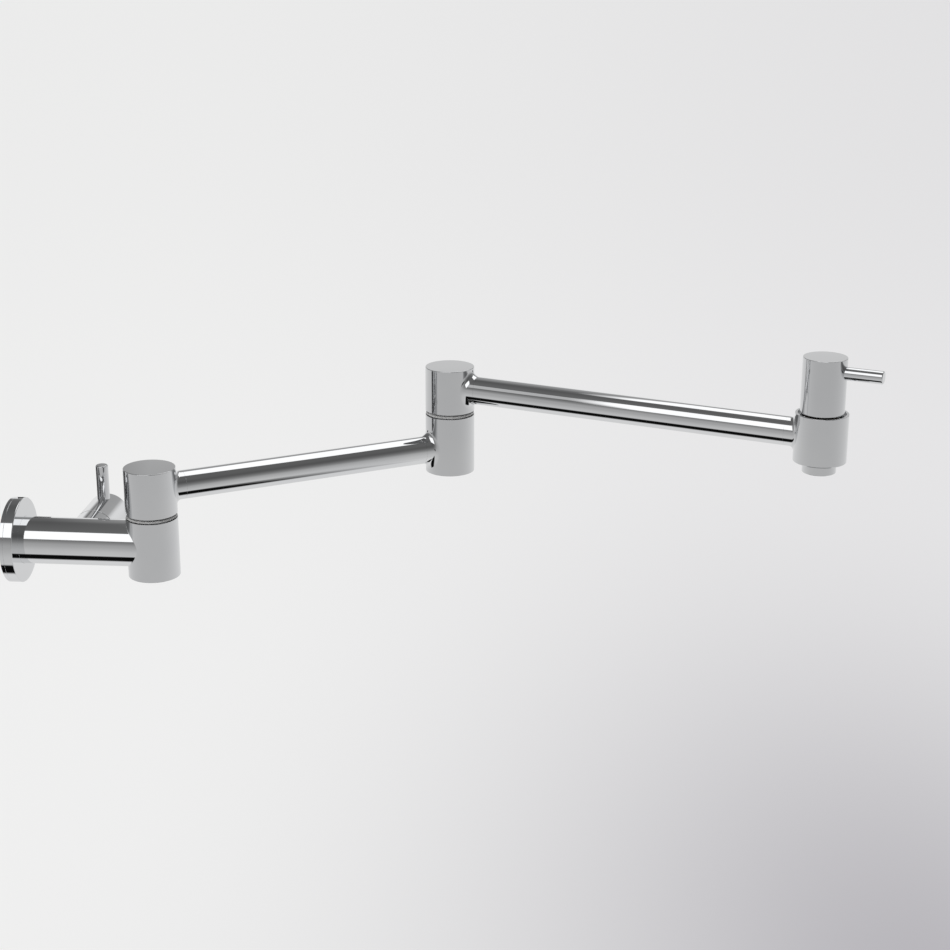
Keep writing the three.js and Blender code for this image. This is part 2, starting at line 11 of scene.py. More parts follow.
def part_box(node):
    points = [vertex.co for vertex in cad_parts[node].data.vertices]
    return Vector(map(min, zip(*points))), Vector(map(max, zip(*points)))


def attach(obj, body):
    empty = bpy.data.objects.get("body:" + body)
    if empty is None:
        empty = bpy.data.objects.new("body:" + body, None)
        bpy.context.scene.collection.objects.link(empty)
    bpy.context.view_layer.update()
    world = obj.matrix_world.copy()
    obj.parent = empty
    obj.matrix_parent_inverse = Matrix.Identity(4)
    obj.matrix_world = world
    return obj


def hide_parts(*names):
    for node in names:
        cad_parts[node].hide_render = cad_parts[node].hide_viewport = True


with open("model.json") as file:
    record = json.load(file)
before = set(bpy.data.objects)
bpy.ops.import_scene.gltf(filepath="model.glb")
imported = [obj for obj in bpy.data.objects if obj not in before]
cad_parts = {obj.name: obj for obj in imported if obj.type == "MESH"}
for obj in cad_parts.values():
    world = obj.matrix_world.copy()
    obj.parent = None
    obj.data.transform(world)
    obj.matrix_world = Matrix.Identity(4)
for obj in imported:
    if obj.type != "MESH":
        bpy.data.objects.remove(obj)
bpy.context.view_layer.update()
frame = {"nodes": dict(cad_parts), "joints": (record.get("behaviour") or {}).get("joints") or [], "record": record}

mm = 0.001
up = np.array((0.0, 0.0, 1.0))
outOfWall = np.array((1.0, 0.0, 0.0))
alongWall = np.array((0.0, 1.0, 0.0))
joints = {joint["name"]: np.array(joint["pos_m"], float) for joint in frame["joints"]}


def metres(**lengths):
    return {name: value * mm for name, value in lengths.items()}


def low(node, way):
    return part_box(node)[0]["xyz".index(way)]


def high(node, way):
    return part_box(node)[1]["xyz".index(way)]


# Surfaces. A patch is a grid of points with the grid of their normals.

# The outline's corners are rounded by arcs that touch both sides, and the normal turns with the arc.
# The solid lies to the left of the outline's run. A corner without a radius keeps two normals.
def roundedOutline(corners, loop, steps=4):
    spots = np.array([corner[:2] for corner in corners], float)
    radii = [corner[2] if len(corner) > 2 else 0.0 for corner in corners]
    count = len(spots)
    points, leans = [], []

    def sideways(run):
        run = run / np.linalg.norm(run)
        return np.array((run[1], -run[0]))

    for i in range(count):
        before = None if i == 0 and not loop else spots[i] - spots[i - 1]
        after = None if i == count - 1 and not loop else spots[(i + 1) % count] - spots[i]
        if before is None or after is None:
            points.append(spots[i])
            leans.append(sideways(after if before is None else before))
            continue
        first, last = sideways(before), sideways(after)
        bend = np.arctan2(first[0] * last[1] - first[1] * last[0], first @ last)
        start = spots[i] - before / np.linalg.norm(before) * radii[i] * abs(np.tan(bend / 2))
        inward = -np.sign(bend)
        centre = start + inward * radii[i] * first
        for share in np.linspace(0, 1, steps + 1 if radii[i] else 2):
            turn = bend * share
            lean = np.array((
                first[0] * np.cos(turn) - first[1] * np.sin(turn),
                first[0] * np.sin(turn) + first[1] * np.cos(turn),
            ))
            if not radii[i]:
                lean = first if share == 0 else last
            points.append(centre - inward * radii[i] * lean)
            leans.append(lean)
    if loop:
        points.append(points[0])
        leans.append(leans[0])
    return np.array(points), np.array(leans)


# A rounded outline of radius and height carried round an axis through the given turns.
def carriedRound(corners, turns, base, axis, start, loop=False):
    points, leans = roundedOutline(corners, loop)
    spoke = np.cos(turns)[:, None] * start + np.sin(turns)[:, None] * np.cross(axis, start)
    grid = base + points[:, None, :1] * spoke + points[:, None, 1:] * axis
    return grid, leans[:, None, :1] * spoke + leans[:, None, 1:] * axis


# A cylinder's side: u is the turn about its axis and v the height along it.
def cylinderSide(radius, base, axis, start):
    def side(u, v):
        spoke = np.cos(u)[..., None] * start + np.sin(u)[..., None] * np.cross(axis, start)
        return base + radius * spoke + v[..., None] * axis, spoke
    return side


def plainSheet(side, us, vs):
    return side(*np.meshgrid(us, vs))


rowEase = 1.4    # above one, the rows round a hole lie closer together near its rim


# A sheet over the rectangle us by vs with one hole. Each point of the rectangle's edge has its own
# point on the hole's rim, and the rows lie at shares of the straight way between the two.
def piercedSheet(side, us, vs, rim, rows=9):
    u = np.concatenate((us, np.full(len(vs) - 1, us[-1]), us[-2::-1], np.full(len(vs) - 1, us[0])))
    v = np.concatenate((np.full(len(us), vs[0]), vs[1:], np.full(len(us) - 1, vs[-1]), vs[-2::-1]))
    rimU, rimV, turns = rim(u, v)
    share = np.linspace(0, 1, rows + 1)[:, None] ** rowEase
    return side(rimU + (u - rimU) * share, rimV + (v - rimV) * share), turns


def within(turns, middle, half):
    return turns[(turns > middle - half) & (turns < middle + half)]


# The rim that a round bore of this radius leaves in a cylinder's side, round the point u, v.
def boreRim(radius, cylinder, middleU, middleV):
    def rim(u, v):
        turns = np.arctan2(v - middleV, (u - middleU) * cylinder)
        across = np.arcsin(radius * np.cos(turns) / cylinder)
        return middleU + across, middleV + radius * np.sin(turns), turns
    return rim


# A blind hole bored at a cylinder's side: its wall from the rim to the floor, and the floor.
def boredHole(radius, cylinder, turns, middle, axis, spoke, floor):
    beside = np.cross(axis, spoke)
    wide, tall = np.cos(turns)[:, None], np.sin(turns)[:, None]
    deep = np.stack((np.sqrt(cylinder ** 2 - (radius * np.cos(turns)) ** 2), np.full(len(turns), floor)))
    wall = middle + deep[..., None] * spoke + radius * (wide * beside + tall * axis)
    wallLean = np.broadcast_to(-(wide * beside + tall * axis), wall.shape)
    disc = np.stack((wall[1], np.broadcast_to(middle + floor * spoke, wall[1].shape)))
    return [(wall, wallLean), (disc, np.broadcast_to(spoke, disc.shape))]


# The rim of a neck on an upright housing. A ball rolls between tube and housing: its centre is one
# fillet away from both, and it touches the housing where the line to the housing's axis passes.
def neckRim(neck, middleU, middleV):
    def rim(u, v):
        turns = np.arctan2(v - middleV, (u - middleU) * neck["housing"])
        reach = neck["tube"] + neck["fillet"]
        across = np.arcsin(reach * np.cos(turns) / (neck["housing"] + neck["fillet"]))
        return middleU + across, middleV + reach * np.sin(turns), turns
    return rim


# The neck itself: the arc of the rolling ball from the housing to the tube, then the plain tube.
def neckSurface(neck, turns, base, heading, end, steps=10):
    beside = np.cross(up, heading)
    outward = np.stack((np.zeros(len(turns)), np.cos(turns), np.sin(turns)), -1)
    centre = (neck["tube"] + neck["fillet"]) * outward
    centre[:, 0] = np.sqrt((neck["housing"] + neck["fillet"]) ** 2 - centre[:, 1] ** 2)
    toHousing = -centre * (1, 1, 0) / (neck["housing"] + neck["fillet"])
    swing = np.arccos(np.sum(-outward * toHousing, -1))[:, None]
    share = np.linspace(0, 1, steps + 1)[:, None, None]
    ray = (np.sin((1 - share) * swing) * toHousing - np.sin(share * swing) * outward) / np.sin(swing)
    points = centre + neck["fillet"] * ray
    plain = np.broadcast_to(neck["tube"] * outward, (1, len(turns), 3)).copy()
    plain[..., 0] = end
    points = np.concatenate((points, plain))
    leans = np.concatenate((-ray, outward[None]))
    toWorld = np.stack((heading, beside, up))
    return base + points @ toWorld, leans @ toWorld


nudge = 1e-9    # keeps the turn of a key's corner on the flat that starts there


# Six-sided key hole in a round end face: the face, the six walls and the floor.
def keyedEnd(outer, key, depth, base, axis, start, sides=6, share=5):
    beside = np.cross(axis, start)
    turns = np.linspace(0, 2 * np.pi, sides * share + 1)

    def ring(radius, turn, height):
        spoke = np.cos(turn)[:, None] * start + np.sin(turn)[:, None] * beside
        return base + np.asarray(radius).reshape(-1, 1) * spoke + height * axis

    def flats(turn):
        wedge = np.mod(turn + nudge, 2 * np.pi / sides) - np.pi / sides
        return key * np.cos(np.pi / sides) / np.cos(wedge)

    face = np.stack((ring(outer, turns, 0), ring(flats(turns), turns, 0)))
    patches = [(face, np.broadcast_to(axis, face.shape))]
    for i in range(sides):
        turn = turns[i * share:(i + 1) * share + 1]
        middle = (i + 0.5) * 2 * np.pi / sides
        lean = -(np.cos(middle) * start + np.sin(middle) * beside)
        wall = np.stack((ring(flats(turn), turn, 0), ring(flats(turn), turn, -depth)))
        patches.append((wall, np.broadcast_to(lean, wall.shape)))
    floor = np.stack((ring(flats(turns), turns, -depth), ring(0.0, turns, -depth)))
    patches.append((floor, np.broadcast_to(axis, floor.shape)))
    return patches


weldStep = 1e-7    # points closer than this are one


# Patches become one mesh: points at one place are shared, triangles that collapse there are left
# out, each triangle faces the way its normals lean, and those normals are kept for the shading.
def makePiece(name, body, slotName, patches, *nodes):
    points = np.concatenate([grid.reshape(-1, 3) for grid, _ in patches])
    leans = np.concatenate([np.array(lean).reshape(-1, 3) for _, lean in patches])
    leans = leans / np.linalg.norm(leans, axis=1, keepdims=True)
    corners, start = [], 0
    for grid, _ in patches:
        rows, columns = grid.shape[:2]
        number = start + np.arange(rows * columns).reshape(rows, columns)
        a, b, c, d = number[:-1, :-1], number[1:, :-1], number[1:, 1:], number[:-1, 1:]
        corners += [np.stack((a, b, c), -1).reshape(-1, 3), np.stack((a, c, d), -1).reshape(-1, 3)]
        start += rows * columns
    corners = np.concatenate(corners)
    spots = np.round(points / weldStep)
    _, first, place = np.unique(spots, axis=0, return_index=True, return_inverse=True)
    shared, welded = points[first], place.reshape(-1)[corners]
    whole = (welded != np.roll(welded, 1, axis=1)).all(axis=1)
    corners, welded = corners[whole], welded[whole]
    a, b, c = (shared[welded[:, i]] for i in range(3))
    backward = np.sum(np.cross(b - a, c - a) * leans[corners].sum(axis=1), axis=1) < 0
    corners[backward] = corners[backward][:, ::-1]
    welded[backward] = welded[backward][:, ::-1]

    mesh = bpy.data.meshes.new(name)
    mesh.from_pydata(shared.tolist(), [], welded.tolist())
    mesh.polygons.foreach_set("use_smooth", np.ones(len(welded), bool))
    mesh.normals_split_custom_set(leans[corners].reshape(-1, 3).tolist())
    mesh.update()
    piece = bpy.data.objects.new(name, mesh)
    bpy.context.scene.collection.objects.link(piece)
    mesh.materials.append(finishes[slotName])
    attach(piece, body)
    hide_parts(*nodes)
    print("made", name, "with", len(welded), "triangles")


# Materials.

# Each input takes a plain value or a link from another node's output.
def feed(tree, sockets, inputs):
    for name, value in inputs.items():
        if isinstance(value, bpy.types.NodeSocket):
            tree.links.new(value, sockets[name])
        else:
            sockets[name].default_value = value


def addNode(tree, kind, inputs=None, **settings):
    node = tree.nodes.new("ShaderNode" + kind)
    for name, value in settings.items():
        setattr(node, name, value)
    feed(tree, node.inputs, inputs or {})
    return node


def addMath(tree, operation, *values):
    return addNode(tree, "Math", dict(enumerate(values)), operation=operation).outputs[0]


def addRange(tree, value, fromLow, fromHigh, toLow, toHigh, kind="LINEAR"):
    inputs = {"Value": value, "From Min": fromLow, "From Max": fromHigh, "To Min": toLow, "To Max": toHigh}
    return addNode(tree, "MapRange", inputs, interpolation_type=kind).outputs["Result"]


def addMix(tree, share, first, second):
    colours = [(*tone, 1) if isinstance(tone, tuple) else tone for tone in (first, second)]
    inputs = {"Factor": share, "A": colours[0], "B": colours[1]}
    return addNode(tree, "Mix", inputs, data_type="RGBA").outputs["Result"]


driftSpan = (0.35, 0.65)    # noise levels over which one tone turns into the other
smearSpan = (0.3, 0.7)      # noise levels over which the roughness goes from its least to its most


# One finish: two tones mixed by a slow noise, a roughness that drifts with another noise, and a
# bump of fine grain. Scales are counts per metre.
def makeFinish(name, look):
    material = bpy.data.materials.new(name)
    material.use_nodes = True
    tree = material.node_tree
    shader = tree.nodes["Principled BSDF"]
    where = addNode(tree, "TexCoord").outputs["Object"]
    drift = addNode(tree, "TexNoise", {"Vector": where, "Scale": look["driftScale"], "Detail": 3.0})
    smear = addNode(tree, "TexNoise", {"Vector": where, "Scale": look["smearScale"], "Detail": 4.0})
    grain = addNode(tree, "TexNoise", {"Vector": where, "Scale": look["grainScale"], "Detail": 2.0})
    bump = addNode(tree, "Bump", {"Height": grain.outputs["Fac"], "Distance": look["grainDepth"],
                                  "Strength": look["grainStrength"]})
    toneShare = addRange(tree, drift.outputs["Fac"], *driftSpan, 0.0, 1.0)
    feed(tree, shader.inputs, {
        "Base Color": addMix(tree, toneShare, look["tone"], look["otherTone"]),
        "Roughness": addRange(tree, smear.outputs["Fac"], *smearSpan, *look["roughness"]),
        "Normal": bump.outputs["Normal"],
        "Metallic": look["metallic"],
        "IOR": look.get("ior", 1.5),
    })
    return material


finishLooks = {
    "polished_chrome": dict(
        tone=(0.745, 0.752, 0.765), otherTone=(0.775, 0.782, 0.79), metallic=1.0,
        roughness=(0.015, 0.045), driftScale=22.0, smearScale=60.0,
        grainScale=1400.0, grainDepth=0.00001, grainStrength=0.03,
    ),
    "brass": dict(
        tone=(0.69, 0.52, 0.25), otherTone=(0.62, 0.45, 0.2), metallic=1.0,
        roughness=(0.22, 0.38), driftScale=120.0, smearScale=300.0,
        grainScale=2500.0, grainDepth=0.00003, grainStrength=0.3,
    ),
    "black_rubber": dict(
        tone=(0.022, 0.022, 0.023), otherTone=(0.036, 0.036, 0.037), metallic=0.0,
        roughness=(0.55, 0.75), driftScale=150.0, smearScale=260.0,
        grainScale=3000.0, grainDepth=0.00005, grainStrength=0.3,
    ),
    "ceramic": dict(
        tone=(0.86, 0.85, 0.82), otherTone=(0.8, 0.79, 0.76), metallic=0.0,
        roughness=(0.12, 0.22), driftScale=180.0, smearScale=300.0,
        grainScale=3500.0, grainDepth=0.00002, grainStrength=0.15, ior=1.76,
    ),
    "acetal": dict(
        tone=(0.49, 0.49, 0.485), otherTone=(0.42, 0.42, 0.415), metallic=0.0,
        roughness=(0.32, 0.46), driftScale=140.0, smearScale=240.0,
        grainScale=2800.0, grainDepth=0.00003, grainStrength=0.2,
    ),
    "stainless_steel": dict(
        tone=(0.52, 0.53, 0.54), otherTone=(0.44, 0.45, 0.46), metallic=1.0,
        roughness=(0.2, 0.36), driftScale=240.0, smearScale=500.0,
        grainScale=4000.0, grainDepth=0.00002, grainStrength=0.25,
    ),
}
finishes = {name: makeFinish(name, look) for name, look in finishLooks.items()}

# The cartridges show only through a handle's gap: a rougher brass, painted darker as shade in that gap.
gapShadeBrass = dict(finishLooks["brass"], tone=(0.2, 0.14, 0.07), otherTone=(0.13, 0.095, 0.05),
                 roughness=(0.45, 0.6))
finishes["dull_brass"] = makeFinish("dull_brass", gapShadeBrass)
for part in frame["record"]["subparts"]:
    slots = frame["nodes"][part["node"]].data.materials
    slots.clear()
    # the cartridges get the brass that is painted darker as shade in the handle's gap
    slots.append(finishes["dull_brass" if "cartridge" in part["node"] else part["material_slot"]])
print("made", len(finishes), "finishes")

roundTurns = np.linspace(0, 2 * np.pi, 97)
halfTurn = np.pi

# Where the parts are at rest: swivel axes, seams and headings.
shoulder, elbow, outlet = joints["shoulder_swivel"], joints["elbow_swivel"], joints["outlet_valve"]


def headingBetween(first, second):
    run = (second - first) * (1, 1, 0)
    return run / np.linalg.norm(run), np.linalg.norm(run)


innerHeading, innerLength = headingBetween(shoulder, elbow)
outerHeading, outerLength = headingBetween(elbow, outlet)
housingRadius = high("outlet_body", "x") - outlet[0]
armRadius = (high("arm_tube_inner", "z") - low("arm_tube_inner", "z")) / 2
innerRise = (high("arm_tube_inner", "z") + low("arm_tube_inner", "z")) / 2
outerRise = (high("arm_tube_outer", "z") + low("arm_tube_outer", "z")) / 2


# Wall flange: rubber gasket, plate and thick escutcheon ring, all turned about the X axis.
flange = dict(
    rim=high("escutcheon", "y"),
    gasketRim=high("wall_gasket", "y"),
    front=high("escutcheon", "x"),
    seam=high("wall_plate", "x"),
    plateBack=low("wall_plate", "x"),
    gasketFront=high("wall_gasket", "x"),
    **metres(edge=0.6, plateEdge=0.15, plateHole=12.3, gasketHole=12.9, gasketEdge=0.1, gasketRoom=0.3,
             tubeHole=15.53, lipEdge=0.1, wall=2.0),
)
flangePlace = (roundTurns, np.zeros(3), outOfWall, up)
gasketOutline = [
    (flange["gasketRim"], 0.0, flange["gasketEdge"]),
    (flange["gasketRim"], flange["gasketFront"], flange["gasketEdge"]),
    (flange["gasketHole"], flange["gasketFront"]),
    (flange["gasketHole"], 0.0),
]
makePiece("gasketRing", "base", "black_rubber",
          [carriedRound(gasketOutline, *flangePlace, loop=True)], "wall_gasket")
recessRim = flange["gasketRim"] + flange["gasketRoom"]
plateOutline = [
    (flange["rim"], flange["plateBack"], flange["plateEdge"]),
    (flange["rim"], flange["seam"], flange["plateEdge"]),
    (flange["plateHole"], flange["seam"]),
    (flange["plateHole"], flange["gasketFront"]),
    (recessRim, flange["gasketFront"]),
    (recessRim, flange["plateBack"]),
]
makePiece("flangePlate", "base", "polished_chrome",
          [carriedRound(plateOutline, *flangePlace, loop=True)], "wall_plate")
escutcheonOutline = [
    (flange["rim"], flange["seam"], flange["plateEdge"]),
    (flange["rim"], flange["front"], flange["edge"]),
    (flange["tubeHole"], flange["front"], flange["lipEdge"]),
    (flange["tubeHole"], flange["seam"]),
    (flange["tubeHole"] + flange["wall"], flange["seam"]),
    (flange["tubeHole"] + flange["wall"], flange["front"] - flange["wall"]),
    (flange["rim"] - flange["wall"], flange["front"] - flange["wall"]),
    (flange["rim"] - flange["wall"], flange["seam"]),
]
makePiece("escutcheonRing", "base", "polished_chrome",
          [carriedRound(escutcheonOutline, *flangePlace, loop=True)], "escutcheon")
print("wall flange done")


# A seam's heights from its joint: the hub's rim and face, the ring between, the housing's face and
# rim. A rebate inside either rim is as wide as the rim's radius less rebateRim.
seamGap = metres(hubRim=0.5, hubFace=-0.7, ringTop=-0.75, ringBottom=-1.95, housingFace=-2.0,
                 housingRim=-2.65, rebateRim=14.5, rimEdge=0.1)
sideRows = 21
armWindow = np.radians(56)    # turn to either side of a neck's middle that its sheet takes up


# An upright round side with a neck in it toward the heading: its patches and the neck rim's turns.
def neckedSide(base, heading, vs, neck, neckHeight, window):
    side = cylinderSide(housingRadius, base, up, -heading)
    us = within(roundTurns, halfTurn, window)
    sheet, turns = piercedSheet(side, us, vs, neckRim(neck, halfTurn, neckHeight))
    onward = roundTurns[1:][roundTurns[1:] <= us[0]] + 2 * np.pi
    rest = np.concatenate((roundTurns[roundTurns >= us[-1]], onward))
    return [sheet, plainSheet(side, rest, vs)], turns


# Upright housing of a swivel: bearing bore above, wide cavity below, and one neck in its side.
housing = metres(edge=0.3, bottomEdge=0.1, bearing=9.3, cavity=13.5, shelf=14.9)


def housingSkin(base, top, bottom, neck, heading, neckHeight, window):
    step = top + seamGap["housingRim"] - seamGap["housingFace"]
    vs = np.linspace(bottom + housing["edge"], step - seamGap["rimEdge"], sideRows)
    patches, turns = neckedSide(base, heading, vs, neck, neckHeight, window)
    inner = [
        (housingRadius, vs[-1]),
        (housingRadius, step, seamGap["rimEdge"]),
        (seamGap["rebateRim"], step),
        (seamGap["rebateRim"], top),
        (housing["bearing"], top),
        (housing["bearing"], top - housing["shelf"]),
        (housing["cavity"], top - housing["shelf"]),
        (housing["cavity"], bottom, housing["bottomEdge"]),
        (housingRadius, bottom, housing["edge"]),
        (housingRadius, vs[0]),
    ]
    patches.append(carriedRound(inner, roundTurns, base, up, -heading))
    return patches, turns


# Hub above a seam: closed on top, with a blind bore for the spigot and one neck in its side.
hub = metres(edge=0.4, bearing=9.3, boreHeight=23.85)


def hubSkin(base, top, neck, heading, neckHeight):
    vs = np.linspace(seamGap["hubRim"] + seamGap["rimEdge"], top - hub["edge"], sideRows)
    patches, turns = neckedSide(base, heading, vs, neck, neckHeight, armWindow)
    cap = [(housingRadius, vs[-1]), (housingRadius, top, hub["edge"]), (0.0, top)]
    bore = [
        (0.0, hub["boreHeight"]),
        (hub["bearing"], hub["boreHeight"]),
        (hub["bearing"], seamGap["hubFace"]),
        (seamGap["rebateRim"], seamGap["hubFace"]),
        (seamGap["rebateRim"], seamGap["hubRim"]),
        (housingRadius, seamGap["hubRim"], seamGap["rimEdge"]),
        (housingRadius, vs[0]),
    ]
    patches.append(carriedRound(cap, roundTurns, base, up, -heading))
    patches.append(carriedRound(bore, roundTurns, base, up, -heading))
    return patches, turns


# An arm's neck ends in a face with a spigot that the arm tube slides over.
neckEnd = metres(reach=22.0, spigot=8.0, spigotEnd=30.0)


def armNeck(neck, turns, base, heading):
    turns = np.unwrap(turns)
    tail = [
        (neck["tube"], neckEnd["reach"]),
        (neckEnd["spigot"], neckEnd["reach"]),
        (neckEnd["spigot"], neckEnd["spigotEnd"]),
        (0.0, neckEnd["spigotEnd"]),
    ]
    return [
        neckSurface(neck, turns, base, heading, neckEnd["reach"]),
        carriedRound(tail, turns, base, heading, np.cross(up, heading)),
    ]


armNeckSize = dict(housing=housingRadius, tube=armRadius)
plainNeck = dict(armNeckSize, fillet=3 * mm)
hubElbowNeck = dict(armNeckSize, fillet=4.975 * mm)    # the most that fits below the hub's rounded rim
housingElbowNeck = dict(armNeckSize, fillet=5 * mm)


# Body casting: the first housing, the fat tube to the wall and the valve boss on its far side.
bodyTube = dict(
    radius=15.5 * mm,
    back=low("wall_body", "x"),
    valve=joints["wall_valve"][0],
    bossEnd=joints["wall_valve"][1],
    bossRadius=(high("wall_handle", "x") - low("wall_handle", "x")) / 2,
    neckWindow=np.radians(80),
    bossTurns=np.radians(82),
    screwTurns=np.radians(24),
    **metres(fillet=0.5, backEdge=0.3, adapterBore=12.3, adapterBoreEnd=33.0, bossWindow=16.5,
             screwPlace=28.0, screwHole=2.3, screwFloor=12.6, screwWindow=4.5,
             bossEdge=0.4, rimWall=1.7, rimRecess=3.0, recessEdge=0.2, chamber=10.8, chamberDepth=23.4),
)
tubeNeck = dict(housing=housingRadius, tube=bodyTube["radius"], fillet=bodyTube["fillet"])
sameTurn = 1e-6    # a turn this close to the last is the first again


def bodySkin():
    base = shoulder * (1, 0, 0)
    towardWall = -outOfWall
    beside = np.cross(up, towardWall)
    patches, turns = housingSkin(base, shoulder[2] + seamGap["housingFace"], low("wall_body", "z"),
                                 tubeNeck, towardWall, 0.0, bodyTube["neckWindow"])
    turns = np.sort(np.unique(np.round(np.mod(turns, 2 * np.pi), 9)))
    turns = turns[turns < 2 * np.pi - sameTurn]
    turns = np.append(turns, turns[0] + 2 * np.pi)
    side = cylinderSide(bodyTube["radius"], base, towardWall, beside)

    def fromAxis(x):
        return base[0] - x

    bossBand = np.linspace(fromAxis(bodyTube["valve"] + bodyTube["bossWindow"]),
                           fromAxis(bodyTube["valve"] - bodyTube["bossWindow"]), 25)
    screwBand = np.linspace(bossBand[-1], bossBand[-1] + 2 * bodyTube["screwWindow"], 7)
    backBand = np.array((screwBand[-1], fromAxis(bodyTube["back"]) - bodyTube["backEdge"]))
    patches.append(neckSurface(tubeNeck, turns, base, towardWall, bossBand[0]))

    bossTurns = within(turns, halfTurn, bodyTube["bossTurns"])
    middle = fromAxis(bodyTube["valve"])

    def bossRim(u, v):
        around = np.arctan2(v - middle, (u - halfTurn) * bodyTube["radius"]) - halfTurn / 2
        across = np.arcsin(bodyTube["bossRadius"] * -np.sin(around) / bodyTube["radius"])
        return halfTurn + across, middle + bodyTube["bossRadius"] * np.cos(around), around

    sheet, around = piercedSheet(side, bossTurns, bossBand, bossRim, rows=7)
    patches.append(sheet)
    patches += restOfBand(side, turns, bossTurns, bossBand)
    bossBase = np.array((bodyTube["valve"], 0.0, 0.0))
    bossSide = cylinderSide(bodyTube["bossRadius"], bossBase, alongWall, towardWall)
    across = bodyTube["bossRadius"] * np.sin(around)
    foot = np.sqrt(bodyTube["radius"] ** 2 - across ** 2)
    top = np.full(len(around), bodyTube["bossEnd"] - bodyTube["bossEdge"])
    patches.append(bossSide(np.stack((around, around)), np.stack((foot, top))))
    bossOutline = [
        (bodyTube["bossRadius"], top[0]),
        (bodyTube["bossRadius"], bodyTube["bossEnd"], bodyTube["bossEdge"]),
        *valveWell(bodyTube["bossRadius"], bodyTube["bossEnd"]),
    ]
    patches.append(carriedRound(bossOutline, around, bossBase, alongWall, towardWall))

    screwTurns = within(turns, 1.5 * np.pi, bodyTube["screwTurns"])
    rim = boreRim(bodyTube["screwHole"], bodyTube["radius"], 1.5 * np.pi, fromAxis(bodyTube["screwPlace"]))
    sheet, around = piercedSheet(side, screwTurns, screwBand, rim, rows=4)
    patches.append(sheet)
    patches += restOfBand(side, turns, screwTurns, screwBand)
    screwBase = np.array((bodyTube["screwPlace"], 0.0, 0.0))
    patches += boredHole(bodyTube["screwHole"], bodyTube["radius"], around, screwBase, towardWall, -up,
                         bodyTube["screwFloor"])
    patches.append(plainSheet(side, turns, backBand))
    backOutline = [
        (bodyTube["radius"], backBand[1]),
        (bodyTube["radius"], fromAxis(bodyTube["back"]), bodyTube["backEdge"]),
        (bodyTube["adapterBore"], fromAxis(bodyTube["back"])),
        (bodyTube["adapterBore"], fromAxis(bodyTube["adapterBoreEnd"])),
        (0.0, fromAxis(bodyTube["adapterBoreEnd"])),
    ]
    patches.append(carriedRound(backOutline, turns, base, towardWall, beside))
    return patches


# What is left of a band round a cylinder beside a window in it.
def restOfBand(side, turns, window, vs):
    parts = (turns[turns <= window[0]], turns[turns >= window[-1]])
    return [plainSheet(side, part, vs) for part in parts if len(part) > 1]


# The well behind a valve's rim: recess, chamber and floor, measured down from the rim.
def valveWell(rimRadius, rim):
    recess = rimRadius - bodyTube["rimWall"]
    return [
        (recess, rim, bodyTube["recessEdge"]),
        (recess, rim - bodyTube["rimRecess"]),
        (bodyTube["chamber"], rim - bodyTube["rimRecess"]),
        (bodyTube["chamber"], rim - bodyTube["chamberDepth"]),
        (0.0, rim - bodyTube["chamberDepth"]),
    ]


makePiece("bodyCasting", "base", "polished_chrome", bodySkin(), "wall_body")
print("body casting done")


# Swivels: ring in each seam, hubs and the elbow's housing with their necks.
ringSize = metres(bore=9.3, setback=0.4, edge=0.1)


def ringSkin(seam):
    rim = housingRadius - ringSize["setback"]
    outline = [
        (rim, seamGap["ringBottom"], ringSize["edge"]),
        (rim, seamGap["ringTop"], ringSize["edge"]),
        (ringSize["bore"], seamGap["ringTop"]),
        (ringSize["bore"], seamGap["ringBottom"]),
    ]
    return [carriedRound(outline, roundTurns, seam, up, outOfWall, loop=True)]


makePiece("shoulderSeamRing", "inner_arm", "acetal", ringSkin(shoulder), "shoulder_ring")
makePiece("elbowSeamRing", "outer_arm", "acetal", ringSkin(elbow), "elbow_ring")


def hubPiece(name, body, node, seam, heading, rise, neck):
    patches, turns = hubSkin(seam, high(node, "z") - seam[2], neck, heading, rise - seam[2])
    patches += armNeck(neck, turns, seam + up * (rise - seam[2]), heading)
    makePiece(name, body, "polished_chrome", patches, node)


hubPiece("shoulderHubCasting", "inner_arm", "shoulder_hub", shoulder, innerHeading, innerRise, plainNeck)
hubPiece("elbowHubCasting", "outer_arm", "elbow_hub", elbow, outerHeading, outerRise, hubElbowNeck)


def elbowHousingPiece():
    base = elbow * (1, 1, 0) + up * innerRise
    top = elbow[2] + seamGap["housingFace"] - innerRise
    bottom = low("elbow_housing", "z") - innerRise
    patches, turns = housingSkin(base, top, bottom, housingElbowNeck, -innerHeading, 0.0, armWindow)
    patches += armNeck(housingElbowNeck, turns, base, -innerHeading)
    makePiece("elbowHousingCasting", "inner_arm", "polished_chrome", patches, "elbow_housing")


elbowHousingPiece()
print("swivels done")


# Arm tubes, butted to their necks with a hair of room.
tubeSize = metres(wall=1.2, start=22.02, edge=0.05)


def tubeSkin(base, heading, length):
    ends = (tubeSize["start"], length - tubeSize["start"])
    outline = [
        (armRadius, ends[0], tubeSize["edge"]),
        (armRadius, ends[1], tubeSize["edge"]),
        (armRadius - tubeSize["wall"], ends[1]),
        (armRadius - tubeSize["wall"], ends[0]),
    ]
    return [carriedRound(outline, roundTurns, base, heading, up, loop=True)]


makePiece("innerArmTube", "inner_arm", "polished_chrome",
          tubeSkin(shoulder * (1, 1, 0) + up * innerRise, innerHeading, innerLength), "arm_tube_inner")
makePiece("outerArmTube", "outer_arm", "polished_chrome",
          tubeSkin(elbow * (1, 1, 0) + up * outerRise, outerHeading, outerLength), "arm_tube_outer")
print("arm tubes done")


# Outlet body: a cup with the valve's well from above and the aerator's socket from below.
outletSize = metres(sideFoot=0.4, chamferRise=0.3, chamferInset=0.14, chamferEdge=0.03, rimEdge=0.2,
                    socketTop=-25.4, socket=10.8, socketEdge=0.15)


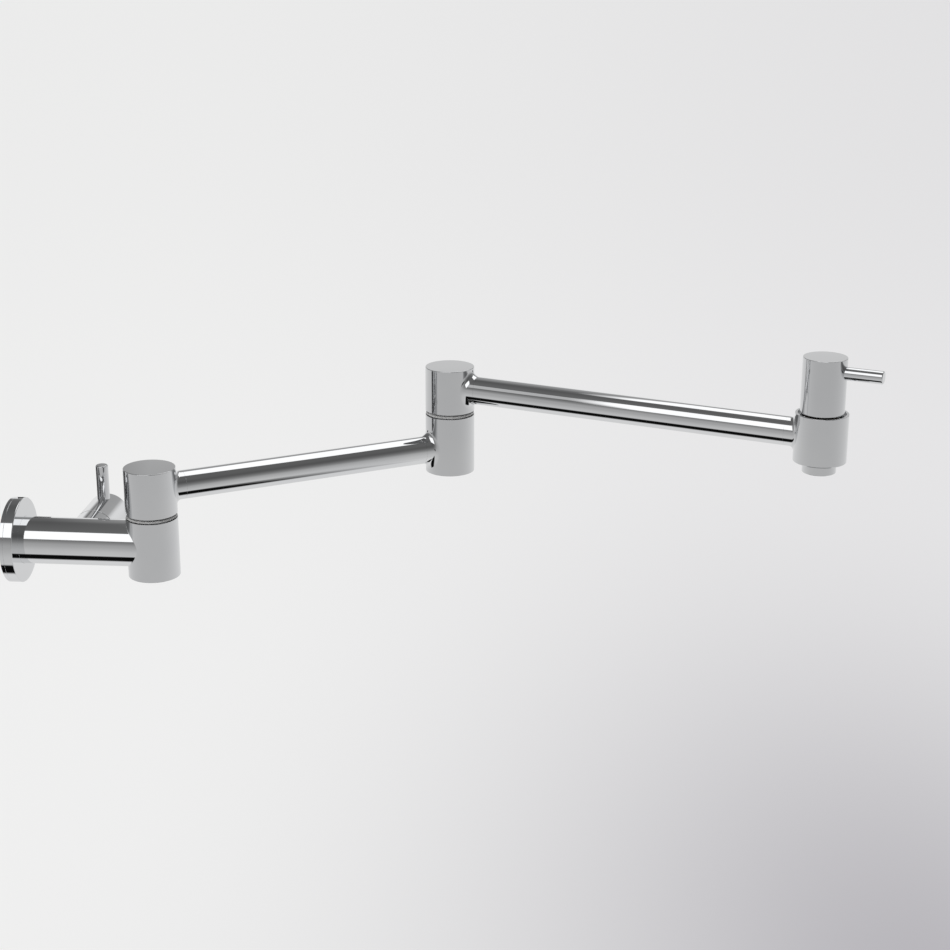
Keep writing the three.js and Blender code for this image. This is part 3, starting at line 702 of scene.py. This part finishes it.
def outletSkin():
    heading = -outerHeading
    bottom = low("outlet_body", "z") - outlet[2]
    vs = np.linspace(bottom + outletSize["sideFoot"], -outletSize["rimEdge"], sideRows)
    patches, turns = neckedSide(outlet, heading, vs, plainNeck, outerRise - outlet[2], armWindow)
    cap = [
        (housingRadius, vs[-1]),
        (housingRadius, 0.0, outletSize["rimEdge"]),
        *valveWell(housingRadius, 0.0),
    ]
    socket = [
        (0.0, outletSize["socketTop"]),
        (outletSize["socket"], outletSize["socketTop"]),
        (outletSize["socket"], bottom, outletSize["socketEdge"]),
        (housingRadius - outletSize["chamferInset"], bottom, outletSize["chamferEdge"]),
        (housingRadius, bottom + outletSize["chamferRise"], outletSize["chamferEdge"]),
        (housingRadius, vs[0]),
    ]
    patches.append(carriedRound(cap, roundTurns, outlet, up, -heading))
    patches.append(carriedRound(socket, roundTurns, outlet, up, -heading))
    return patches + armNeck(plainNeck, turns, outlet + up * (outerRise - outlet[2]), heading)


makePiece("outletCasting", "outer_arm", "polished_chrome", outletSkin(), "outlet_body")


# Aerator: chromed shell screwed into the outlet, and the plain insert with its two ring slots.
aerator = dict(
    face=low("aerator_shell", "z") - outlet[2],
    bodyFloor=low("outlet_body", "z") - outlet[2],
    **metres(radius=10.8, mouth=7.9, insert=8.7, thread=10.5, threadTop=-26.9, lip=1.6, gap=0.3,
             edge=0.5, topEdge=0.15, mouthEdge=0.35, insertEdge=0.3, slotWidth=0.6, slotDepth=2.0,
             innerSlot=3.48, outerSlot=6.525),
)
shellOutline = [
    (aerator["radius"], aerator["face"], aerator["edge"]),
    (aerator["radius"], aerator["bodyFloor"] - aerator["gap"], aerator["topEdge"]),
    (aerator["thread"], aerator["bodyFloor"] - aerator["gap"]),
    (aerator["thread"], aerator["threadTop"]),
    (aerator["insert"], aerator["threadTop"]),
    (aerator["insert"], aerator["face"] + aerator["lip"]),
    (aerator["mouth"], aerator["face"] + aerator["lip"]),
    (aerator["mouth"], aerator["face"], aerator["mouthEdge"]),
]
makePiece("aeratorShell", "outer_arm", "polished_chrome",
          [carriedRound(shellOutline, roundTurns, outlet, up, outOfWall, loop=True)],
          "aerator_shell")
insertLow = aerator["face"] + aerator["lip"] + aerator["gap"]
insertRim = aerator["insert"] - aerator["gap"]
insertOutline = [(0.0, insertLow)]
for slotRim in (aerator["innerSlot"], aerator["outerSlot"]):
    insertOutline += [
        (slotRim - aerator["slotWidth"], insertLow),
        (slotRim - aerator["slotWidth"], insertLow + aerator["slotDepth"]),
        (slotRim, insertLow + aerator["slotDepth"]),
        (slotRim, insertLow),
    ]
insertOutline += [
    (insertRim, insertLow, aerator["insertEdge"]),
    (insertRim, aerator["threadTop"]),
    (0.0, aerator["threadTop"]),
]
makePiece("aeratorInsert", "outer_arm", "acetal",
          [carriedRound(insertOutline, roundTurns, outlet, up, outOfWall)], "aerator_insert")
print("outlet done")


# Valve handle: a shell with a hollow below, a socket for the spindle, a hole for the lever and one
# for the grub screw opposite. Heights are measured from the valve's rim.
handle = dict(
    leverWindow=np.radians(40),
    screwWindow=np.radians(20),
    **metres(radius=14.1, bottom=0.5, top=36.5, edge=0.3, bottomEdge=0.2, innerEdge=0.15, wall=2.0,
             cavityTop=14.0, stemBore=4.8, stemTop=21.8, leverRise=27.2, leverHole=4.23,
             leverSeat=6.0, screwRise=17.75, screwHole=2.3, bandLow=13.25, bandHigh=22.25),
)
lever = metres(radius=4.2, start=6.3, reach=37.5, edge=0.8, rootEdge=0.1)
setScrew = metres(radius=2.0, edge=0.2, key=1.0, keyDepth=2.0)
gripScrew = metres(start=4.8, end=12.3)
faceInset = 1.2    # how far a screw's or plug's end face lies inside its side, in radii of the edge


def handleSkin(base, axis, heading):
    start = -np.cross(axis, heading)    # the lever is a quarter turn on from here
    side = cylinderSide(handle["radius"], base, axis, start)
    lowBand = np.array((handle["bottom"] + handle["bottomEdge"], handle["bandLow"]))
    screwBand = np.linspace(handle["bandLow"], handle["bandHigh"], 7)
    leverBand = np.linspace(handle["bandHigh"], handle["top"] - handle["edge"], 15)
    patches = [plainSheet(side, roundTurns, lowBand)]
    holes = (("screw", 1.5 * np.pi, screwBand, "stemBore"), ("lever", 0.5 * np.pi, leverBand, "leverSeat"))
    for kind, turn, band, floor in holes:
        window = within(roundTurns, turn, handle[kind + "Window"])
        radius, rise = handle[kind + "Hole"], handle[kind + "Rise"]
        rim = boreRim(radius, handle["radius"], turn, rise)
        sheet, around = piercedSheet(side, window, band, rim, rows=6)
        spoke = np.cos(turn) * start + np.sin(turn) * np.cross(axis, start)
        patches.append(sheet)
        patches += restOfBand(side, roundTurns, window, band)
        patches += boredHole(radius, handle["radius"], around, base + rise * axis, axis, spoke, handle[floor])
    cap = [
        (handle["radius"], leverBand[-1]),
        (handle["radius"], handle["top"], handle["edge"]),
        (0.0, handle["top"]),
    ]
    hollow = [
        (0.0, handle["stemTop"]),
        (handle["stemBore"], handle["stemTop"]),
        (handle["stemBore"], handle["cavityTop"]),
        (handle["radius"] - handle["wall"], handle["cavityTop"]),
        (handle["radius"] - handle["wall"], handle["bottom"], handle["innerEdge"]),
        (handle["radius"], handle["bottom"], handle["bottomEdge"]),
        (handle["radius"], lowBand[0]),
    ]
    patches.append(carriedRound(cap, roundTurns, base, axis, start))
    patches.append(carriedRound(hollow, roundTurns, base, axis, start))
    return patches


def leverSkin(base, axis, heading):
    outline = [
        (0.0, lever["start"]),
        (lever["radius"], lever["start"], lever["rootEdge"]),
        (lever["radius"], lever["reach"], lever["edge"]),
        (0.0, lever["reach"]),
    ]
    middle = base + handle["leverRise"] * axis
    return [carriedRound(outline, roundTurns, middle, heading, axis)]


def screwSkin(base, axis, heading, start, end):
    turns = np.linspace(0, 2 * np.pi, 31)
    radius = setScrew["radius"]
    faceRim = radius - faceInset * setScrew["edge"]
    outline = [(0.0, start), (radius, start), (radius, end, setScrew["edge"]), (faceRim, end)]
    return [
        carriedRound(outline, turns, base, heading, axis),
        *keyedEnd(faceRim, setScrew["key"], setScrew["keyDepth"], base + end * heading, heading, axis),
    ]


def valvePieces(prefix, body, rim, axis, heading):
    screwBase = rim + handle["screwRise"] * axis
    makePiece(prefix + "HandleShell", body, "polished_chrome",
              handleSkin(rim, axis, heading), prefix + "_handle")
    makePiece(prefix + "LeverPin", body, "polished_chrome",
              leverSkin(rim, axis, heading), prefix + "_lever")
    makePiece(prefix + "GripScrew", body, "stainless_steel",
              screwSkin(screwBase, axis, -heading, **gripScrew), prefix + "_handle_screw")


valvePieces("wall", "wall_handle_set", joints["wall_valve"], alongWall, up)
valvePieces("outlet", "outlet_handle_set", outlet, up, outerHeading)
print("valve handles done")


# Set screw under the body tube, and the threaded plugs that close both housings.
bodyScrew = metres(start=10.3, end=15.2)
bodyScrewBase = np.array((bodyTube["screwPlace"], 0.0, 0.0))
makePiece("bodyGripScrew", "base", "stainless_steel",
          screwSkin(bodyScrewBase, outOfWall, -up, **bodyScrew), "body_set_screw")
plug = metres(radius=13.2, depth=6.0, groove=11.8, grooveHalf=0.85, edge=0.5, backEdge=0.2, key=4.5,
              keyDepth=3.0)


def plugSkin(axisPlace, face):
    base = axisPlace * (1, 1, 0) + up * face
    middle = -plug["depth"] / 2
    faceRim = plug["radius"] - faceInset * plug["edge"]
    turns = np.linspace(0, 2 * np.pi, 91)
    outline = [
        (0.0, -plug["depth"]),
        (plug["radius"], -plug["depth"], plug["backEdge"]),
        (plug["radius"], middle - plug["grooveHalf"]),
        (plug["groove"], middle - plug["grooveHalf"]),
        (plug["groove"], middle + plug["grooveHalf"]),
        (plug["radius"], middle + plug["grooveHalf"]),
        (plug["radius"], 0.0, plug["edge"]),
        (faceRim, 0.0),
    ]
    return [
        carriedRound(outline, turns, base, -up, outOfWall),
        *keyedEnd(faceRim, plug["key"], plug["keyDepth"], base, -up, outOfWall, share=15),
    ]


makePiece("basePlugDisc", "base", "brass", plugSkin(shoulder, low("base_plug", "z")), "base_plug")
makePiece("elbowPlugDisc", "inner_arm", "brass", plugSkin(elbow, low("elbow_plug", "z")), "elbow_plug")
print("screws and plugs done")


# Camera: where the photograph was taken from.
# Angles are in degrees, the focal length and the frame's side in pixels, the sensor's side in mm.
view = dict(place=(0.3997, -1.1227, 0.4161), turn=4.73, tilt=-17.85, roll=0.12, focal=1852.6, frame=950,
            sensor=36.0)


def makeCamera():
    turn, tilt, roll = (np.radians(view[name]) for name in ("turn", "tilt", "roll"))
    ahead = Vector((-np.sin(turn) * np.cos(tilt), np.cos(turn) * np.cos(tilt), np.sin(tilt)))
    right = Vector((np.cos(turn), np.sin(turn), 0))
    above = right.cross(ahead)
    side = right * np.cos(roll) + above * np.sin(roll)
    above = above * np.cos(roll) - right * np.sin(roll)
    lens = bpy.data.cameras.new("camera")
    lens.sensor_width = view["sensor"]
    lens.lens = view["focal"] * view["sensor"] / view["frame"]
    camera = bpy.data.objects.new("camera", lens)
    aim = Matrix((side, above, -ahead)).transposed().to_4x4()
    camera.matrix_world = Matrix.Translation(view["place"]) @ aim
    bpy.context.scene.collection.objects.link(camera)
    bpy.context.scene.camera = camera


makeCamera()

# Studio: the world holds the room that the metal mirrors, with its softboxes, a black flag and dark
# boards. Azimuth counts from the camera's side, positive towards +X. Widths and heights are half
# sizes at a distance of one.
studio = dict(
    # how bright the room is at sines of elevation, toward the camera's side and toward the back
    front=((-1, 0.80), (-0.9, 0.78), (-0.7, 0.62), (-0.5, 0.60), (-0.29, 0.52), (0, 0.41), (0.19, 0.28),
           (0.29, 0.22), (0.47, 0.13), (0.56, 0.11), (0.7, 0.12), (0.87, 0.15), (1, 0.14)),
    back=((-1, 0.80), (-0.7, 0.80), (-0.3, 0.78), (0, 0.90), (0.1, 0.92), (0.17, 0.88), (0.26, 0.62),
          (0.3, 0.45), (0.4, 0.42), (0.5, 0.40), (0.7, 0.38), (0.87, 0.15), (1, 0.14)),
    backPower=2.0,
    sideShade=0.3,       # the front's darkening per unit of X above the horizon
    sideRise=(-0.1, 0.1),
    cornerShade=0.62,    # how much darker the back left corner is above the horizon
    cornerLeft=(-0.3, -0.25),
    cornerRise=(0.18, 0.3),
    softboxes=(
        dict(azimuth=-19, elevation=41, width=0.43, height=0.335, light=1.32),
        dict(azimuth=155, elevation=59, width=0.42, height=0.36, light=1.32),
        dict(azimuth=-60, elevation=40, width=0.2, height=0.18, light=0.55),
    ),
    boards=(    # dark boards on the horizon, for upright lines in the metal seen from the sides
        dict(azimuth=40, elevation=0, width=0.12, height=0.13, light=0.1),
        dict(azimuth=138, elevation=0, width=0.12, height=0.13, light=0.1),
        dict(azimuth=-120, elevation=0, width=0.14, height=0.13, light=0.1),
    ),
    softEdge=0.02,
    # the flag lies on the floor in front: its edges are ratios of distance to depth
    flagLeft=-1.8, flagRight=0.48, flagSlant=0.75, flagNear=0.7, flagFar=0.065, flagEdge=0.07,
    flagLight=0.004,
)
leastDivisor = 0.001


def addRamp(tree, height, stops):
    ramp = addNode(tree, "ValToRGB", {"Fac": addRange(tree, height, -1.0, 1.0, 0.0, 1.0)})
    marks = ramp.color_ramp.elements
    while len(marks) < len(stops):
        marks.new(0.5)
    for mark, (sine, light) in zip(marks, stops):
        mark.position = (sine + 1) / 2
        mark.color = (light, light, light, 1)
    return addNode(tree, "RGBToBW", {"Color": ramp.outputs["Color"]}).outputs["Val"]


def addBoxMask(tree, direction, box):
    azimuth, elevation = np.radians(box["azimuth"]), np.radians(box["elevation"])
    middle = (np.sin(azimuth) * np.cos(elevation), -np.cos(azimuth) * np.cos(elevation), np.sin(elevation))
    across = (np.cos(azimuth), np.sin(azimuth), 0)
    along = np.cross(across, middle)

    def dot(way):
        return addNode(tree, "VectorMath", {0: direction, 1: way}, operation="DOT_PRODUCT").outputs["Value"]

    ahead = addMath(tree, "MAXIMUM", dot(middle), leastDivisor)
    masks = []
    for way, half in ((across, box["width"]), (along, box["height"])):
        offset = addMath(tree, "ABSOLUTE", addMath(tree, "DIVIDE", dot(way), ahead))
        masks.append(addRange(tree, offset, half - studio["softEdge"], half + studio["softEdge"], 1.0, 0.0))
    return addMath(tree, "MULTIPLY", masks[0], masks[1])


def makeWorld():
    world = bpy.data.worlds.new("studio")
    bpy.context.scene.world = world
    world.use_nodes = True
    tree = world.node_tree
    direction = addNode(tree, "TexCoord").outputs["Generated"]
    parts = addNode(tree, "SeparateXYZ", {"Vector": direction})
    x, y, z = (parts.outputs[name] for name in "XYZ")

    def times(first, second):
        return addMath(tree, "MULTIPLY", first, second)

    def dimmed(light, share):
        return times(light, addMath(tree, "SUBTRACT", 1.0, share))

    def edgeAt(value, place, before, after):
        return addRange(tree, value, place - studio["flagEdge"], place + studio["flagEdge"], before, after)

    side = times(addRange(tree, z, *studio["sideRise"], 0.0, studio["sideShade"]), x)
    frontLight = dimmed(addRamp(tree, z, studio["front"]), side)
    corner = times(addRange(tree, x, *studio["cornerLeft"], studio["cornerShade"], 0.0),
                   addRange(tree, z, *studio["cornerRise"], 0.0, 1.0))
    backLight = dimmed(addRamp(tree, z, studio["back"]), corner)
    backShare = addMath(tree, "POWER", addRange(tree, y, -1.0, 1.0, 0.0, 1.0), studio["backPower"])
    light = addMath(tree, "ADD", times(backLight, backShare), dimmed(frontLight, backShare))

    drop = addMath(tree, "MAXIMUM", times(z, -1.0), leastDivisor)
    flagX = addMath(tree, "DIVIDE", x, drop)
    flagY = addMath(tree, "DIVIDE", times(y, -1.0), drop)
    flagSide = addMath(tree, "SUBTRACT", flagX, times(flagY, studio["flagSlant"]))
    flag = edgeAt(flagSide, studio["flagRight"], 1.0, 0.0)
    flag = times(flag, edgeAt(flagX, studio["flagLeft"], 0.0, 1.0))
    flag = times(flag, edgeAt(flagY, studio["flagFar"], 0.0, 1.0))
    flag = times(flag, edgeAt(flagY, studio["flagNear"], 1.0, 0.0))
    light = addMath(tree, "ADD", dimmed(light, flag), times(flag, studio["flagLight"]))
    for board in studio["boards"]:
        light = dimmed(light, times(addBoxMask(tree, direction, board), 1 - board["light"]))
    for box in studio["softboxes"]:
        light = addMath(tree, "MAXIMUM", light, times(addBoxMask(tree, direction, box), box["light"]))
    tree.links.new(light, tree.nodes["Background"].inputs["Color"])


makeWorld()

# Two large soft lamps bring matt surfaces to a plain level. The metal shows the world's softboxes.
lamps = (
    dict(name="keyLamp", place=(-1.2, -2.2, 2.2), width=1.8, power=38.0),
    dict(name="fillLamp", place=(2.0, 1.6, 2.4), width=1.8, power=30.0),
)
lampTarget = Vector((0.3, 0.0, 0.0))
for entry in lamps:
    light = bpy.data.lights.new(entry["name"], "AREA")
    light.size = entry["width"]
    light.energy = entry["power"]
    lamp = bpy.data.objects.new(entry["name"], light)
    turn = (lampTarget - Vector(entry["place"])).to_track_quat("-Z", "Y")
    lamp.matrix_world = Matrix.Translation(entry["place"]) @ turn.to_matrix().to_4x4()
    lamp.visible_glossy = False
    bpy.context.scene.collection.objects.link(lamp)

# The backdrop's tone is painted darker from left to right like a fan that opens at the camera's foot:
# painted shade where the light falls off. A lilac painted shade lies on it below the outlet: its share
# is e to the power of minus (distance over reach) to the power of shadePower.
floor = dict(depth=-0.6, half=40.0, domeRadius=20.0, domeRings=17, domeTurns=65,
             fanX=0.4, fanY=-1.12, fanLeast=0.3, fanSpan=(-0.3, 0.24),
             shadeX=0.71, shadeY=0.4, stretchY=0.51, shadeReach=0.403, shadePower=1.56,
             # The first tone is the backdrop's own; the second is painted shade for the right side, the third the
             # painted shade below the outlet.
             pale=(0.907, 0.907, 0.905), cool=(0.823, 0.818, 0.828), lilac=(0.483, 0.472, 0.501),
             plainShare=0.15)


# The backdrop's material: its pale tone with painted shade on it.
def makeBackdropToneAndShade():
    material = bpy.data.materials.new("studioFloor")
    material.use_nodes = True
    tree = material.node_tree
    tree.nodes.remove(tree.nodes["Principled BSDF"])
    place = addNode(tree, "SeparateXYZ", {"Vector": addNode(tree, "TexCoord").outputs["Object"]})

    def times(first, second):
        return addMath(tree, "MULTIPLY", first, second)

    def offset(way, start):
        return addMath(tree, "SUBTRACT", place.outputs[way], start)

    # Painted shade on the backdrop: a lilac pool below the outlet, and a darker tone over the fan's far side.
    offX = offset("X", floor["shadeX"])
    offY = times(offset("Y", floor["shadeY"]), floor["stretchY"])
    away = addMath(tree, "SQRT", addMath(tree, "ADD", times(offX, offX), times(offY, offY)))
    shade = addMath(tree, "POWER", addMath(tree, "DIVIDE", away, floor["shadeReach"]), floor["shadePower"])
    shade = addMath(tree, "EXPONENT", times(shade, -1.0))
    ahead = addMath(tree, "MAXIMUM", offset("Y", floor["fanY"]), floor["fanLeast"])
    fan = addMath(tree, "DIVIDE", offset("X", floor["fanX"]), ahead)
    far = addRange(tree, fan, *floor["fanSpan"], 0.0, 1.0, "SMOOTHSTEP")
    tone = addMix(tree, shade, addMix(tree, far, floor["pale"], floor["cool"]), floor["lilac"])
    matte = addNode(tree, "BsdfDiffuse", {"Color": tone})
    shown = addNode(tree, "Emission", {"Color": tone, "Strength": 1.0})
    path = addNode(tree, "LightPath")
    seen = addMath(tree, "ADD", path.outputs["Is Camera Ray"], path.outputs["Is Glossy Ray"])
    seen = addMath(tree, "ADD", seen, path.outputs["Is Transmission Ray"])
    seen = times(addMath(tree, "MINIMUM", seen, 1.0), 1 - floor["plainShare"])
    mix = addNode(tree, "MixShader", {"Fac": seen, 1: matte.outputs["BSDF"], 2: shown.outputs["Emission"]})
    tree.links.new(mix.outputs["Shader"], tree.nodes["Material Output"].inputs["Surface"])
    return material


# A stage piece hides from some kinds of rays. The metal shows the world and not the floor or dome.
def makeStagePiece(name, points, faces, material, hidden):
    mesh = bpy.data.meshes.new(name)
    mesh.from_pydata(points, [], faces)
    piece = bpy.data.objects.new(name, mesh)
    bpy.context.scene.collection.objects.link(piece)
    for ray in hidden:
        setattr(piece, "visible_" + ray, False)
    mesh.materials.append(material)


def makeFloor():
    material = makeBackdropToneAndShade()
    corners = np.array(((-1, -1), (1, -1), (1, 1), (-1, 1))) * floor["half"]
    points = [(*corner, floor["depth"]) for corner in corners.tolist()]
    makeStagePiece("studioFloor", points, [(0, 1, 2, 3)], material, ("glossy",))
    # the dome is a sphere's upper half: rings of points at even angles over the horizon
    rises = np.linspace(0, np.pi / 2, floor["domeRings"])[:-1]
    turns = np.linspace(0, 2 * np.pi, floor["domeTurns"])[:-1]
    rise, turn = np.meshgrid(rises, turns, indexing="ij")
    dome = np.stack((np.cos(rise) * np.cos(turn), np.cos(rise) * np.sin(turn), np.sin(rise)), -1)
    dome = dome * floor["domeRadius"] + floor["depth"] * up
    number = np.arange(dome.shape[0] * dome.shape[1]).reshape(dome.shape[:2])
    beside = np.roll(number, -1, axis=1)
    faces = np.stack((number[:-1], beside[:-1], beside[1:], number[1:]), -1).reshape(-1, 4).tolist()
    faces.append(number[-1].tolist())
    makeStagePiece("studioDome", dome.reshape(-1, 3).tolist(), faces, material,
                   ("diffuse", "glossy", "transmission", "shadow"))


makeFloor()

# A dark card stands beside the wall flange, out of the camera's sight, for a deep edge in the metal.
card = dict(x=-0.004, near=0.03, far=0.1, low=-0.03, high=0.035, tone=(0.13, 0.13, 0.132),
            roughness=0.9)


def makeCard():
    spots = [(card["x"], y, z) for y, z in ((card["near"], card["low"]), (card["far"], card["low"]),
                                            (card["far"], card["high"]), (card["near"], card["high"]))]
    material = bpy.data.materials.new("darkCard")
    material.use_nodes = True
    tree = material.node_tree
    feed(tree, tree.nodes["Principled BSDF"].inputs,
         {"Base Color": (*card["tone"], 1), "Roughness": card["roughness"]})
    hidden = ("camera", "diffuse", "shadow", "transmission")
    makeStagePiece("darkCard", spots, [(0, 1, 2, 3)], material, hidden)


makeCard()
bpy.context.scene.view_settings.view_transform = "Standard"
print("studio done")
